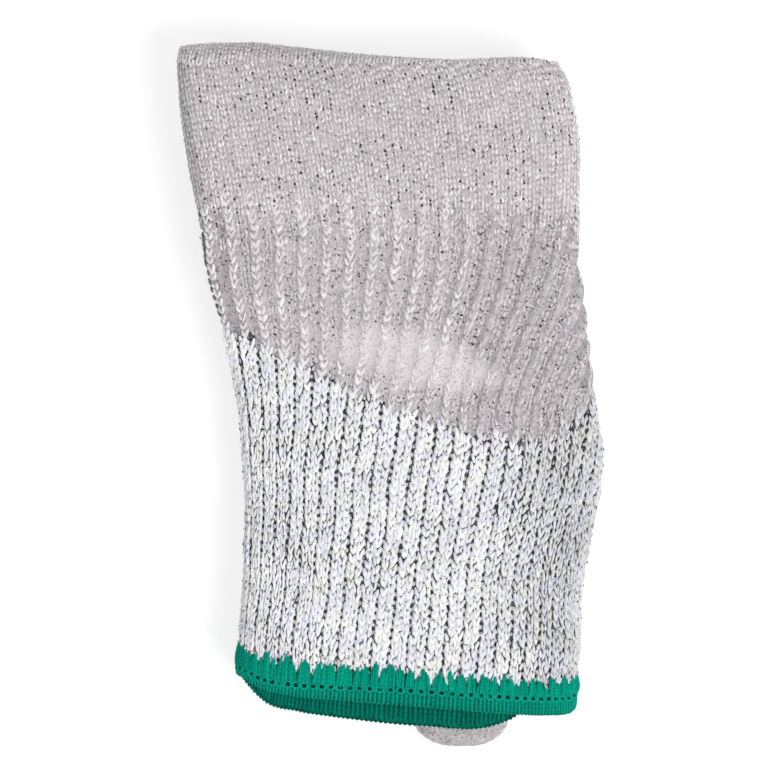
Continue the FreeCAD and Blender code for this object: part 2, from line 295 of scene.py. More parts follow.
# sizes in mm, each by its distance from the fold
foldLine = {
    "y": 70.4, "z": 13.8, "start": 9.6, "end": 18.0,
    # how far the knit reaches past the fold line, across the glove
    "reach": [(-46, 4.0), (-38, 4.4), (-30, 4.5), (-19, 3.4), (-9, 2.3), (2, 1.4), (12, 0.8), (32, 0.9),
              (34.7, 0.3), (36, 0.2)],
}
cuffSize = {
    "left": [(0, -45.6), (8, -45.0), (20, -43.4), (33, -41.0), (46, -38.6), (57, -36.0), (67, -33.9),
             (78, -32.1), (89, -31.1), (101, -31.0), (114, -31.5), (124, -32.4), (136, -33.5)],
    "right": [(0, 34.7), (1.2, 36.1), (2.8, 37.1), (6, 38.0), (10, 38.8), (18, 39.7), (29, 39.5), (40, 39.9),
              (50, 40.6), (61, 42.0), (72, 43.3), (80, 44.5), (86, 44.6), (97, 43.1), (106, 41.6), (119, 40.1),
              (131, 39.1), (140, 38.8)],
    "roof": [(0, 23.2), (6, 24.5), (14, 25.1), (32, 25.4), (43, 25.1), (54, 23.4), (66, 21.0), (80, 20.1),
             (100, 20.4), (120, 21.6), (140, 22.8)],
    "floor": [(0, 14.0), (6, 15.0), (14, 15.8), (43, 15.9), (54, 13.2), (66, 10.0), (80, 9.7), (120, 9.9),
              (140, 10.7)],
    "leftPower": [(0, 30), (12, 11), (30, 7.5), (60, 6), (140, 5.5)],
    "rightPower": [(0, 9), (30, 8), (60, 6.5), (140, 6)],
    # how many of the ribs lie on the palm side
    "frontRibs": [(20, 16.3), (38, 16.5), (50, 17.8), (62, 19.8), (74, 21.8), (88, 23.4), (100, 23.9), (140, 24)],
    "ribs": 46, "end": 135.0, "wall": 1.3, "flat": 76,
    # the stretches in which the ribs crowd towards the edges and the courses come to slant, in mm of the cuff
    "crowds": (58, 92), "crowding": 0.2, "slants": (62, 134),
    # the slanting hem, round the ring
    "edge": [(-0.05, 130.2), (0.0, 129.6), (0.04, 130.3), (0.095, 132.3), (0.19, 133.9), (0.33, 134.9),
             (0.48, 135.8), (0.71, 137.3), (0.9, 138.1), (0.96, 137.9), (1.0, 136.9), (1.04, 137.1),
             (1.1, 137.6), (1.16, 137.7), (1.2, 139.5), (1.25, 140.9), (1.45, 140.9), (1.655, 139.4),
             (1.8, 137.8), (1.88, 136.2), (1.935, 132.8), (1.965, 130.6), (2.0, 129.6), (2.04, 130.3)],
}
handSize = {
    "left": [(0, -44.4), (13, -41.4), (43, -34.1), (58, -31.0), (66, -29.6)],
    "right": [(0, 35.6), (13, 34.6), (43, 34.8), (58, 38.4), (66, 40.4)],
    "roof": [(0, 13.6), (6, 15.2), (43, 15.2), (54, 12.4), (66, 9.2)],
    "floor": [(0, 7.6), (10, 7.7), (43, 7.6), (54, 4.2), (66, 0.3)],
    "leftPower": (26, 6), "rightPower": (9, 6), "squareTo": 30,
}


# how square the tubes' edges are
def cuffPowers(d):
    return flowing(cuffSize["leftPower"], d), flowing(cuffSize["rightPower"], d)


def handPowers(d):
    share = min(d / handSize["squareTo"], 1)
    return mixed(*handSize["leftPower"], share), mixed(*handSize["rightPower"], share)


cuffTable = sectionTable(cuffSize, 148, cuffPowers)
handTable = sectionTable(handSize, 68, handPowers)


def frontShare(d):
    return flowing(cuffSize["frontRibs"], d) / cuffSize["ribs"]


# the ring coordinate of a rib's wale, and back; the bare ribs crowd towards both edges
def crowding(d):
    return cuffSize["crowding"] * smoothStep(*cuffSize["crowds"], d)


def ringOf(wale, d):
    share = frontShare(d)
    u = np.where(wale < share, wale / share, 1 + (wale - share) / (1 - share))
    return u - crowding(d) * np.sin(2 * math.pi * u) / (2 * math.pi)


def waleOf(g, d):
    u = g
    for turn in range(4):
        u = g + crowding(d) * np.sin(2 * math.pi * u) / (2 * math.pi)
    share = frontShare(d)
    return np.where(u < 1, u * share, share + (u - 1) * (1 - share))


# courses run straight across the heel and follow the slanting hem at the bottom
def skewed(g, s):
    slant = smoothStep(*cuffSize["slants"], s)
    return s + slant * (flowing(cuffSize["edge"], np.asarray(g, float) % 2) - cuffSize["end"])


def cuffPlace(g, s):
    d = skewed(g, s)
    x, level, middle, half = lookUp(cuffTable, g, d)
    z = middle + level * (half + 0.3 * ripple(3, 26, x, d) * smoothStep(0, 14, d))
    x = x + 0.25 * ripple(4, 18, d, x * 0.3) * smoothStep(0, 20, d)
    return np.stack([x, foldLine["y"] - d, z], -1)


def handPlace(g, e):
    x, level, middle, half = lookUp(handTable, g, e)
    return np.stack([x, foldLine["y"] - e, middle - level * half], -1)


# the half turn at the fold: turn runs from 0 at the heel to 1 at the hand
def foldPlace(g, turn):
    upper, lower = cuffPlace(g, 0.0 * turn), handPlace(g, 0.0 * turn)
    turn = np.asarray(turn, float)
    g, turn = np.broadcast_arrays(g, turn)
    angle = turn * math.pi
    x = mixed(upper[..., 0], lower[..., 0], turn)
    above, below = upper[..., 2] - foldLine["z"], foldLine["z"] - lower[..., 2]
    radius = np.where(turn < 0.5, above, below)
    deep = mixed(above, below, turn) / mixed(9.2, 6.2, turn)
    y = foldLine["y"] + flowing(foldLine["reach"], x) * np.maximum(deep, 0) ** 0.35 * np.sin(angle)
    return np.stack([x, y, foldLine["z"] + radius * np.cos(angle)], -1)


# a stall, from inside the palm to its closed tip
stallShape = {"edge": (4.0, 4.0), "narrows": 0.16, "flattens": 0.3, "droop": 0.175}


def stallPlace(stall):
    rowX, rowLevel = sectionRow(-1, 1, -1, 1, stallShape["edge"])

    def place(g, s):
        g, s = np.broadcast_arrays(np.asarray(g, float) % 2, np.asarray(s, float))
        column = g / 2 * len(rowX)
        c0 = np.floor(column).astype(int) % len(rowX)
        c1 = (c0 + 1) % len(rowX)
        across = mixed(rowX[c0], rowX[c1], column - np.floor(column))
        level = mixed(rowLevel[c0], rowLevel[c1], column - np.floor(column))
        body = stall["length"] - stall["dome"]
        angle = np.clip((s - body) / stall["dome"], 0, math.pi / 2 - 0.02)
        y = np.where(s < body, s, body + stall["dome"] * np.sin(angle))
        # the open end narrows so that it stays hidden in the palm
        inside = smoothStep(1.5, -4, s)
        wide = stall["width"] / 2 * np.cos(angle) ** 0.75 * (1 + 0.012 * ripple(stall["seed"], 17, s, g * 4))
        wide = wide * (1 - stallShape["narrows"] * inside)
        high = stall["height"] / 2 * np.cos(angle) ** 0.6 * (1 - stallShape["flattens"] * inside)
        droop = stallShape["droop"] * stall["height"] * (1 - np.cos(angle))
        z = stall["height"] / 2 + stall["lift"] - droop + level * high * stall["face"]
        c, n = math.cos(stall["turn"]), math.sin(stall["turn"])
        return np.stack([stall["x"] + across * wide * c + y * n, stall["y"] + across * wide * n - y * c, z], -1)
    return place


# position, direction along the wale, direction across it and outward normal
def framesOn(place, ring, s, side, step=0.35):
    ringStep = 0.004
    here = place(ring(s), s)
    along = unit(place(ring(s + step), s + step) - place(ring(s - step), s - step))
    across = unit(place(ring(s) + ringStep, s) - place(ring(s) - ringStep, s))
    normal = unit(np.cross(along, across)) * side
    return here, along, unit(np.cross(normal, along)) * side, normal


# the direction along, turned towards across by an angle for each point
def turnedLine(along, across, angle):
    return along * np.cos(angle)[:, None] + across * np.sin(angle)[:, None]


# links a made object, dresses it, and hangs it on its body; a piece across a joint is hung on none, its place baked
# into its mesh
def finished(obj, bodies, replaces=(), material=None):
    bpy.context.scene.collection.objects.link(obj)
    if material:
        obj.data.materials.clear()
        obj.data.materials.append(material)
    if len(bodies) == 1:
        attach(obj, bodies[0])
    else:
        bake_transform(obj)
    if replaces:
        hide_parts(*replaces)
    return obj


def setAttribute(mesh, name, kind, values):
    layer = mesh.attributes.new(name, kind, "POINT")
    key = "vector" if kind == "FLOAT_VECTOR" else "value"
    layer.data.foreach_set(key, np.ascontiguousarray(values, np.float32).ravel())


# a smooth mesh, with a place on a map for each corner of its quads
def quadMesh(name, points, quads, mapName, corners):
    mesh = bpy.data.meshes.new(name)
    mesh.from_pydata(points.reshape(-1, 3).tolist(), [], quads.tolist())
    mesh.uv_layers.new(name=mapName).data.foreach_set("uv", corners.astype(np.float32).ravel())
    mesh.shade_smooth()
    return mesh


# the corners of a grid's quads as whole columns and rows, in the order given
def gridCorners(count, columns, order):
    r, c = np.divmod(np.arange(count), columns)
    return np.stack([np.stack([c + right, r + down], -1) for right, down in order], 1)


# a tube from a grid of points (rows, columns, 3) in millimetres, closed round its ring
def tubeMesh(name, points, flip, values):
    rows, columns = points.shape[:2]
    index = np.arange(rows * columns).reshape(rows, columns)
    right = np.roll(index, -1, 1)
    quads = np.stack([index[:-1], right[:-1], right[1:], index[1:]], -1).reshape(-1, 4)
    corners = gridCorners(len(quads), columns, ((0, 0), (1, 0), (1, 1), (0, 1)))
    if flip:
        quads, corners = quads[:, ::-1], corners[:, ::-1]
    flat = corners.reshape(-1, 2) / np.array([columns, rows - 1]) * 0.996 + 0.002
    mesh = quadMesh(name, points * mm, quads, "OFBake", flat)
    for key, value in values.items():
        setAttribute(mesh, key, "FLOAT", np.broadcast_to(value, points.shape[:2]))
    return bpy.data.objects.new(name, mesh)


# one stitch leg: a low rounded petal, one unit long and wide, along Y
def petalShape(name, longCount, wideCount, blunt):
    t = np.linspace(0, 1, longCount + 1)
    width = np.maximum(np.sin(math.pi * np.clip(t, 0.02, 0.98)), 0) ** blunt
    angle = np.linspace(-1, 1, wideCount + 1) * math.pi / 2
    x = np.sin(angle)[None, :] * width[:, None] / 2
    y = np.broadcast_to((t - 0.5)[:, None], x.shape)
    z = np.cos(angle)[None, :] * width[:, None]
    index = np.arange(x.size).reshape(x.shape)
    quads = np.stack([index[:-1, :-1], index[:-1, 1:], index[1:, 1:], index[1:, :-1]], -1).reshape(-1, 4)
    flat = np.stack(np.broadcast_arrays(angle / math.pi + 0.5, t[:, None]), -1).reshape(-1, 2)
    mesh = quadMesh(name, np.stack([x, y, z], -1), quads, "leaf", flat[quads.ravel()])
    return bpy.data.objects.new(name, mesh)


# a thread loop: a flat ring, one unit across, in the XY plane
def loopShape(name, around, section, thick):
    a = np.linspace(0, 2 * math.pi, around, endpoint=False)[:, None]
    b = np.linspace(0, 2 * math.pi, section, endpoint=False)[None, :]
    reach = 0.5 - thick / 2 + np.cos(b) * thick / 2
    height = np.broadcast_to(np.sin(b) * thick / 2, (around, section))
    index = np.arange(around * section).reshape(around, section)
    down, right = np.roll(index, -1, 0), np.roll(index, -1, 1)
    quads = np.stack([index, down, np.roll(down, -1, 1), right], -1).reshape(-1, 4)
    corners = gridCorners(len(quads), section, ((0, 0), (0, 1), (1, 1), (1, 0)))
    mesh = quadMesh(name, np.stack([np.cos(a) * reach, np.sin(a) * reach, height], -1), quads, "leaf",
                    corners.reshape(-1, 2) / [section, around])
    return bpy.data.objects.new(name, mesh)


# places one shape on every point, turned and sized by the point's own attributes
def stitchTree():
    tree = bpy.data.node_groups.new("stitches_on_points", "GeometryNodeTree")
    for name, kind in (("Geometry", "Geometry"), ("Stitch", "Object"), ("Yarn", "Material"),
                       ("Looseness", "Float"), ("Seed", "Int")):
        tree.interface.new_socket(name, in_out="INPUT", socket_type="NodeSocket" + kind)
    tree.interface.new_socket("Geometry", in_out="OUTPUT", socket_type="NodeSocketGeometry")
    source = addNode(tree, "NodeGroupInput").outputs
    shape = addNode(tree, "GeometryNodeObjectInfo", {"Object": source["Stitch"]}).outputs["Geometry"]

    def stored(name):
        return addNode(tree, "GeometryNodeInputNamedAttribute", {"Name": name},
                       data_type="FLOAT_VECTOR").outputs["Attribute"]
    up = addNode(tree, "FunctionNodeAlignRotationToVector", {"Vector": stored("facing")}, axis="Z")
    turned = addNode(tree, "FunctionNodeAlignRotationToVector",
                     {"Rotation": up.outputs[0], "Vector": stored("along")}, axis="Y", pivot_axis="Z")
    least = calculate(tree, "SUBTRACT", 1.0, source["Looseness"])
    most = calculate(tree, "ADD", 1.0, source["Looseness"])
    # inputs 2 and 3 are this node's least and most as plain numbers, and output 1 is the number
    jitter = addNode(tree, "FunctionNodeRandomValue", {2: least, 3: most, "Seed": source["Seed"]},
                     data_type="FLOAT").outputs[1]
    scale = addNode(tree, "ShaderNodeVectorMath", {0: stored("size"), 1: jitter}, operation="MULTIPLY")
    placed = addNode(tree, "GeometryNodeInstanceOnPoints", {
        "Points": source["Geometry"], "Instance": shape, "Rotation": turned.outputs[0],
        "Scale": scale.outputs[0]})
    real = addNode(tree, "GeometryNodeRealizeInstances", {"Geometry": placed.outputs[0]})
    dyed = addNode(tree, "GeometryNodeSetMaterial", {"Geometry": real.outputs[0], "Material": source["Yarn"]})
    addNode(tree, "NodeGroupOutput", {"Geometry": dyed.outputs[0]})
    return tree


stitches = stitchTree()
largeLeg = petalShape("large_leg", 5, 4, 0.42)
smallLeg = petalShape("small_leg", 4, 4, 0.45)
tinyLeg = petalShape("tiny_leg", 4, 2, 0.45)
strandLeg = petalShape("strand", 5, 4, 0.3)
chainLoop = loopShape("loop", 12, 6, 0.3)
print("stitch shapes made")


# spots where stitches go, gathered before they are made into one mesh
def emptySpots():
    return {"place": [], "facing": [], "along": [], "size": [], "coat": [], "tint": []}


# size is (wide, long, high), and each of these, coat and tint are one number or one for each spot
def addSpots(spots, place, facing, along, size, coat, tint):
    for key, value in (("place", place), ("facing", facing), ("along", along)):
        spots[key].append(value)
    spots["size"].append(np.stack([np.broadcast_to(part, len(place)) for part in size], -1))
    spots["coat"].append(np.broadcast_to(coat, len(place)))
    spots["tint"].append(np.broadcast_to(tint, len(place)))


# turns a list of spots into one plain mesh of stitches
def spotMesh(name, spots, shape, material, looseness, seed):
    joined = {key: np.concatenate(value) for key, value in spots.items()}
    joined["size"] = joined["size"] * mm
    points = bpy.data.meshes.new(name + "_points")
    points.from_pydata((joined["place"] * mm).tolist(), [], [])
    for key in ("facing", "along", "size"):
        setAttribute(points, key, "FLOAT_VECTOR", joined[key])
    for key in ("coat", "tint"):
        setAttribute(points, key, "FLOAT", joined[key])
    setAttribute(points, "order", "FLOAT", np.arange(len(joined["place"])))
    holder = bpy.data.objects.new(name + "_holder", points)
    bpy.context.scene.collection.objects.link(holder)
    modifier = holder.modifiers.new("stitches", "NODES")
    modifier.node_group = stitches
    given = {"Stitch": shape, "Yarn": material, "Looseness": looseness, "Seed": seed}
    for item in stitches.interface.items_tree:
        if item.in_out == "INPUT" and item.name in given:
            modifier[item.identifier] = given[item.name]
    bpy.context.view_layer.update()
    mesh = bpy.data.meshes.new_from_object(holder.evaluated_get(bpy.context.evaluated_depsgraph_get()))
    bpy.data.objects.remove(holder)
    # each stitch has its own cell on the bake map
    loops = np.zeros(len(mesh.loops), np.int32)
    mesh.loops.foreach_get("vertex_index", loops)
    order = np.zeros(len(mesh.vertices), np.float32)
    mesh.attributes["order"].data.foreach_get("value", order)
    leaf = np.zeros(len(mesh.loops) * 2, np.float32)
    mesh.uv_layers["leaf"].data.foreach_get("uv", leaf)
    side = math.ceil(math.sqrt(len(joined["place"])))
    row, column = np.divmod(order[loops].astype(int), side)
    flat = (np.stack([column, row], -1) + 0.06 + leaf.reshape(-1, 2) * 0.88) / side
    mesh.uv_layers.new(name="OFBake").data.foreach_set("uv", flat.astype(np.float32).ravel())
    for key in ("facing", "along", "size", "order"):
        if key in mesh.attributes:
            mesh.attributes.remove(mesh.attributes[key])
    mesh.materials.clear()
    mesh.materials.append(material)
    return bpy.data.objects.new(name, mesh)


# shared by the knit of the whole glove, in the order it is made
rng = np.random.default_rng(7)


# two legs of a stitch that point towards the hem, on frames from framesOn
def addLegs(spots, frames, legs, coat, tint):
    here, along, across, normal = frames
    count = len(here)
    for hand in (-1, 1):
        lean = np.radians(legs["lean"] + rng.normal(0, 1, count) * legs["leanJitter"]) * -hand
        dive = np.radians(legs["dive"] + rng.normal(0, 3, count))
        line = unit(turnedLine(turnedLine(along, across, lean), normal, dive))
        facing = unit(normal - line * np.sum(normal * line, 1)[:, None])
        aside = hand * legs["apart"] + rng.normal(0, 1, count) * legs["shift"]
        at = here + across * aside[:, None] + along * (rng.normal(0, 1, count) * legs["shift"])[:, None]
        at = at + normal * (legs["lift"] + rng.normal(0, 0.03, count))[:, None]
        wide = legs["wide"] * (1 + rng.normal(0, 1, count) * legs["vary"])
        long = legs["long"] * (1 + rng.normal(0, 1, count) * legs["vary"])
        high = legs["high"] * (1 + rng.normal(0, 0.12, count))
        shade = tint * (1 + rng.normal(0, 1, count) * legs["shade"])
        addSpots(spots, at, facing, line, (wide, long, high), coat, shade)


# the dip's edge on the palm side, and the thick smooth part of its film
dip = {
    "line": [(-48, 52), (-40, 54.5), (-36, 56.5), (-29.5, 59), (-21.6, 63.5), (-14, 66.5), (-9, 70), (-3, 71.6),
             (5, 75.5), (12, 77.3), (20, 78.4), (27, 79.8), (33, 80.0), (38, 76.8), (41, 74.4), (46, 70)],
    "blur": 1.3, "turn": 0.03, "retreat": 700, "palmTurn": (0.056, 0.014),
    "patch": {"x": 4, "d": 63, "cos": 0.974, "sin": 0.225, "long": 19, "wide": 6.2},
}


# how far past the edges a place on the ring is, 0 all over the palm side
def pastEdge(g):
    g = np.asarray(g, float) % 2
    return np.where(g > 1, np.minimum(g - 1, 2 - g), 0)


def cuffCoat(g, d, x):
    line = flowing(dip["line"], x) - dip["retreat"] * np.maximum(pastEdge(g) - dip["turn"], 0)
    return smoothStep(-dip["blur"], dip["blur"], line - d + 0.8 * ripple(11, 5, x, d) + 0.6 * ripple(12, 1.9, x, d))


def cuffPatch(d, x):
    patch = dip["patch"]
    along = (x - patch["x"]) * patch["cos"] + (d - patch["d"]) * patch["sin"]
    off = (d - patch["d"]) * patch["cos"] - (x - patch["x"]) * patch["sin"]
    near = np.hypot(along / patch["long"], off / patch["wide"])
    return smoothStep(1.25, 0.55, near + 0.1 * ripple(13, 9, x, d))


def palmCoat(g):
    return smoothStep(*dip["palmTurn"], pastEdge(g))


# the knit: courses and wales, and the legs of its stitches; sizes in mm, angles in degrees
ribKnit = {"course": 1.72, "first": 28.5, "fade": 5.0, "thins": 15, "pitch": 3.45}
plainKnit = {"wales": 102, "course": 1.3, "hiddenCourse": 1.6}
bareRibLegs = {"pair": 0.73, "apart": 0.36, "wide": 0.86, "long": 2.5, "high": 0.62, "lift": -0.14, "lean": 14,
               "leanJitter": 4, "dive": 6, "shift": 0.1, "vary": 0.12, "shade": 0.05}
dipRibLegs = {"pair": 0, "apart": 0.43, "wide": 0.83, "long": 1.95, "high": 0.52, "lift": -0.1, "lean": 24,
              "leanJitter": 8, "dive": 4, "shift": 0.12, "vary": 0.18, "shade": 0.08}
# what the ridges of the film change in the dipped legs, as shares
ridgeChange = {"wide": -0.3, "apart": -0.35, "lean": -0.5, "leanJitter": -0.4, "long": 0.2}
plainLegs = {"apart": 0.4, "wide": 0.62, "long": 1.5, "high": 0.38, "lift": -0.08, "lean": 12,
             "leanJitter": 7, "dive": 4, "shift": 0.07, "vary": 0.15, "shade": 0.09}
# beyond the fold the stitches point back towards it
backLegs = dict(plainLegs, lean=-plainLegs["lean"], dive=-plainLegs["dive"])
hiddenLegs = dict(backLegs, long=1.85, wide=0.68)


# the film stands in sharper ridges towards the right
def ridged(x):
    return smoothStep(2, 26, x)


# how far the ground stands off the tube, the coat, the thick patch and the shade of the valleys
def ribHeight(g, s):
    g = np.asarray(g, float) % 2
    d = skewed(g, s)
    x = lookUp(cuffTable, g, d)[0]
    coat, patch = cuffCoat(g, d, x), cuffPatch(d, x)
    wave = 0.5 - 0.5 * np.cos(2 * math.pi * waleOf(g, d) * cuffSize["ribs"])
    rib = smoothStep(27, 34, d)
    right = ridged(x) * (1 - patch)
    dipped = mixed(0.1, -0.45 + (0.5 + 0.55 * right) * wave ** (1.2 + 1.3 * right) + 0.18 * patch, rib)
    bare = mixed(-0.15, -0.6 + 0.35 * wave, rib)
    valley = 1 - (0.08 + 0.16 * right) * (1 - wave) * rib * coat * (1 - patch)
    return mixed(bare, dipped, coat), coat, patch, valley


# the heel's left side turns away into shade
heelShade = {"depth": 0.26, "across": (3.4, 0.6), "down": (62, 40)}


def sideShade(x, s):
    near = smoothStep(*heelShade["across"], x - flowing(cuffSize["left"], s))
    return 1 - heelShade["depth"] * near * smoothStep(*heelShade["down"], s)


# how fine the ground is: columns round the cuff, the palm and a stall, and mm between the cuff's rows
shell = {"tube": 352, "palm": 240, "stall": 96, "step": 0.8}


# the ground under the stitches of the cuff and the heel
def cuffBase(name, s0, s1, bodies):
    rows = np.linspace(s0, s1, max(int(round((s1 - s0) / shell["step"])), 2) + 1)
    g, s = np.meshgrid(np.arange(shell["tube"]) / shell["tube"] * 2, rows)
    here, normal = framesOn(cuffPlace, lambda v: g, s, 1)[::3]
    height, coat, patch, valley = ribHeight(g, s)
    points = here + normal * height[..., None]
    values = {"coat": coat, "thick": patch * coat, "tint": valley * sideShade(points[..., 0], s)}
    return finished(tubeMesh(name, points, True, values), bodies, material=ground)


# the raised wales of the rib; also gives what their marks need
def ribSpots(s0, s1, front):
    ribs, course = cuffSize["ribs"], ribKnit["course"]
    rows = np.arange(ribKnit["first"], cuffSize["end"] - 3.3, course)
    rows = rows[(rows >= s0) & (rows < s1)]
    wale, s = [a.ravel() for a in np.meshgrid((np.arange(ribs) + 0.5) / ribs, rows)]
    s = s + 0.25 * ripple(21, 20, wale * 160, s)
    offsets = np.random.default_rng(6).uniform(-0.4, 0.4, ribs) * course
    s = s + offsets[(wale * ribs).astype(int)]

    def ring(at):
        g = ringOf(wale, at)
        for turn in range(2):
            g = ringOf(wale, skewed(g, at))
        return g
    if front is not None:
        keep = (ring(s) < 1) == front
        wale, s = wale[keep], s[keep]
    frames = framesOn(cuffPlace, ring, s, 1)
    g = ring(s)
    d = skewed(g, s)
    x = frames[0][:, 0]
    coat = cuffCoat(g, d, x)
    patch = cuffPatch(d, x) * coat
    # the rib's own width beside its usual one
    near = 0.002
    pitch = (ringOf(wale + near, d) - ringOf(wale - near, d)) / (2 * near)
    pitch = pitch * cuffSize["flat"] / ribs / ribKnit["pitch"]
    bare = dict(bareRibLegs, **{key: bareRibLegs[key] * pitch for key in ("pair", "apart")})
    bare["wide"] = bareRibLegs["wide"] * pitch ** 1.4
    bare["lean"] = bareRibLegs["lean"] * np.minimum(pitch, 1.1) ** 1.5
    bare["leanJitter"] = bareRibLegs["leanJitter"] * np.minimum(pitch, 1)
    # bare legs become dipped ones, stitch by stitch
    legs = {key: mixed(bare[key], dipRibLegs[key], coat) for key in bare}
    # stitches swell out of the plain knit at the first ribs and sink under the thick film
    rise = smoothStep(ribKnit["first"] - 1, ribKnit["first"] + ribKnit["fade"], d)
    legs["high"] = legs["high"] * mixed(0.55, 1, rise) * (1 - 0.25 * patch)
    # painted shade: the ribs of the palm side darken towards its right edge, less so under the dip, where they
    # crowd together as they turn over it
    tint = 1 + 0.03 * ripple(22, 14, x, d) - (0.19 - 0.13 * coat) * smoothStep(16, 42, x) * (g < 1)
    ridge = coat * (1 - patch) * ridged(x)
    for key, change in ridgeChange.items():
        legs[key] = legs[key] * (1 + change * ridge)
    spots = emptySpots()
    # two bare wales stand side by side on each rib, and the dip leaves one of them showing
    for hand in (-1, 1):
        pick = (coat < 0.5) | (hand > 0)
        shift = np.where(coat < 0.5, hand * legs["pair"], 0)
        slide = np.where(coat < 0.5, hand * course / 4, 0)
        moved = [frames[0] + frames[2] * shift[:, None] + frames[1] * slide[:, None]] + list(frames[1:])
        addLegs(spots, [f[pick] for f in moved], {key: value[pick] for key, value in legs.items()}, coat[pick],
                tint[pick])
    return spots, frames, g, pitch, coat, patch


# plain knit on any surface; keep and shading thin it out and shade it by place
def plainSpots(spots, place, wales, s, side, coatOf, legs, step=0.35, keep=None, shading=None):
    wale, s = np.meshgrid((np.arange(wales) + 0.5) / wales * 2, s)
    # each wale's stitches sit a little higher or lower than its neighbours'
    s = s + (np.random.default_rng(5).uniform(-0.5, 0.5, wales) * (s[1, 0] - s[0, 0]) * 0.9)[None, :]
    wale, s = wale.ravel(), s.ravel()
    frames = framesOn(place, lambda v: wale, s, side, step)
    if keep:
        kept = keep(s)
        frames, wale, s = [f[kept] for f in frames], wale[kept], s[kept]
    x, y = frames[0][:, 0], frames[0][:, 1]
    coat = coatOf(wale, s, x, y)
    # bare stitches stand fuller than the ones the film holds down
    legs = dict(legs, wide=legs["wide"] * (1.28 - 0.28 * coat), long=legs["long"] * (1.2 - 0.2 * coat))
    shade = 1 + 0.02 * ripple(31, 9, x, y)
    if shading:
        shade = shade * shading(x, s)
    addLegs(spots, frames, legs, coat, shade)
    return frames, wale, s


# small dark spots beside the stitches: off to either side, and lifted off the surface
def addPits(spots, frames, chance, pit):
    picked = rng.random(len(frames[0])) < chance
    here, along, across, normal = [f[picked] for f in frames]
    count = len(here)
    if not count:
        return
    side = rng.choice([-1, 1], count) * pit["off"]
    at = here + across * side[:, None] + along * rng.normal(0.3, 0.3, count)[:, None]
    at = at + normal * pit["lift"]
    wide = pit["wide"] * rng.uniform(0.6, 1.35, count)
    long = pit["long"] * rng.uniform(0.7, 1.3, count)
    line = unit(turnedLine(along, across, rng.normal(0, 0.5, count)))
    addSpots(spots, at, normal, line, (wide, long, pit["high"]), 1.0, pit["tint"])


def stitchPiece(name, spots, shape, bodies, replaces=(), material=yarn, seed=1):
    looseness = 0.06
    return finished(spotMesh(name, spots, shape, material, looseness, seed), bodies, replaces)


wrist = {"z": 25.4, "from": 20.0, "to": 46.0}
wristBend = ("heel", "cuff", (0, foldLine["y"] - wrist["from"], wrist["z"]),
             (0, foldLine["y"] - wrist["to"], wrist["z"]))


# pinholes where the film has broken open between stitches gather in loose drifts over the plain knit; they are
# painted black for the shade inside them
pinhole = {"off": 0.75, "wide": 0.42, "long": 0.5, "high": 0.05, "lift": 0.24, "tint": 0.0}


def drift(x, d):
    return np.clip(0.22 + 0.19 * ripple(41, 15, x, d) + 0.06 * ripple(42, 5, x, d), 0.01, 0.5)


# plain stitches follow the film down between the first ribs
def sunkPlace(g, s):
    height, coat = ribHeight(g, s)[:2]
    down = (height - mixed(-0.15, 0.1, coat)) * np.where(np.asarray(g) % 2 < 1, 1, -1)
    return cuffPlace(g, s) + np.stack([0 * down, 0 * down, down], -1)


def heelCoat(wale, s, x, y):
    return cuffCoat(wale, s, x)


def plainFront(s0, s1):
    spots = emptySpots()
    first, last = ribKnit["first"], ribKnit["first"] + ribKnit["thins"]
    rows = np.arange(0.6, last, plainKnit["course"])
    rows = rows[(rows >= s0) & (rows < s1)]

    # the plain stitches thin out among the first ribs
    def thinning(s):
        return rng.random(len(s)) > smoothStep(first - 1, last, s)
    frames, wale, s = plainSpots(spots, sunkPlace, plainKnit["wales"], rows, 1, heelCoat, plainLegs,
                                 keep=thinning, shading=sideShade)
    x = frames[0][:, 0]
    addPits(spots, frames, np.where(wale < 1, drift(x, s) * smoothStep(-46, -36, x), 0), pinhole)
    return spots


# heel: rides the heel; wrist: lies across its joint, hung on no body; cuff: rides the cuff
cuffBase("heel_film", 0.0, wrist["from"], ("heel",))
cuffBase("wrist_film", wrist["from"], wrist["to"], wristBend)
cuffBase("cuff_ground", wrist["to"], cuffSize["end"] - 0.3, ("cuff",))

stitchPiece("heel_stitches", plainFront(-1, wrist["from"]), smallLeg, ("heel",), ("heel_knit", "heel_dip"))

# marks among the ribs: bumps of the recessed wales half drowned in the film and loops of the recessed wales deep
# between the bare ribs, both darkened with painted shade; holes in the film, painted black for the shade in them;
# and dark specks between the legs of the bare stitches, painted shade in the gaps along with dark fibres
ribMarks = {
    "bumps": {"offs": (1.5, 2.4, 3.3), "apart": 0.85, "sink": 0.42},
    "loops": {"off": 1.7, "sink": 0.2, "high": 0.3},
    "holes": {"offs": (1.35, 1.8, 2.3), "share": 0.36},
    # holes are black: painted shade inside them
    "hole": {"wide": 0.34, "long": 0.44, "high": 0.1, "lift": -0.28, "tint": 0.0},
    # specks are near black: painted shade in the gaps between the legs, along with dark fibres
    "specks": ((0.06, 0.5, 0.36), (0.84, 0.5, 0.36), (1.25, 0.35, 0.3), (0.42, 0.3, 0.42)),
    "speck": {"wide": 0.24, "long": 0.7, "high": 0.16, "tint": 0.16},
}


def ribBumps(spots, frames):
    here, along, across, normal = frames
    bump, count = ribMarks["bumps"], len(here)
    for off in bump["offs"]:
        for hand in (-0.5, 0.5):
            aside = (off + rng.normal(0, 0.12, count))[:, None]
            at = here + across * aside + along * (hand * bump["apart"] + rng.normal(0, 0.2, count))[:, None]
            line = turnedLine(along, across, rng.normal(0, 0.55, count))
            size = (rng.uniform(0.4, 0.75, count), rng.uniform(0.7, 1.5, count), rng.uniform(0.12, 0.3, count))
            # painted shade: the sunk bumps are darkened so that they recede
            addSpots(spots, at - normal * bump["sink"], normal, line, size, 1.0, rng.uniform(0.74, 0.92, count))


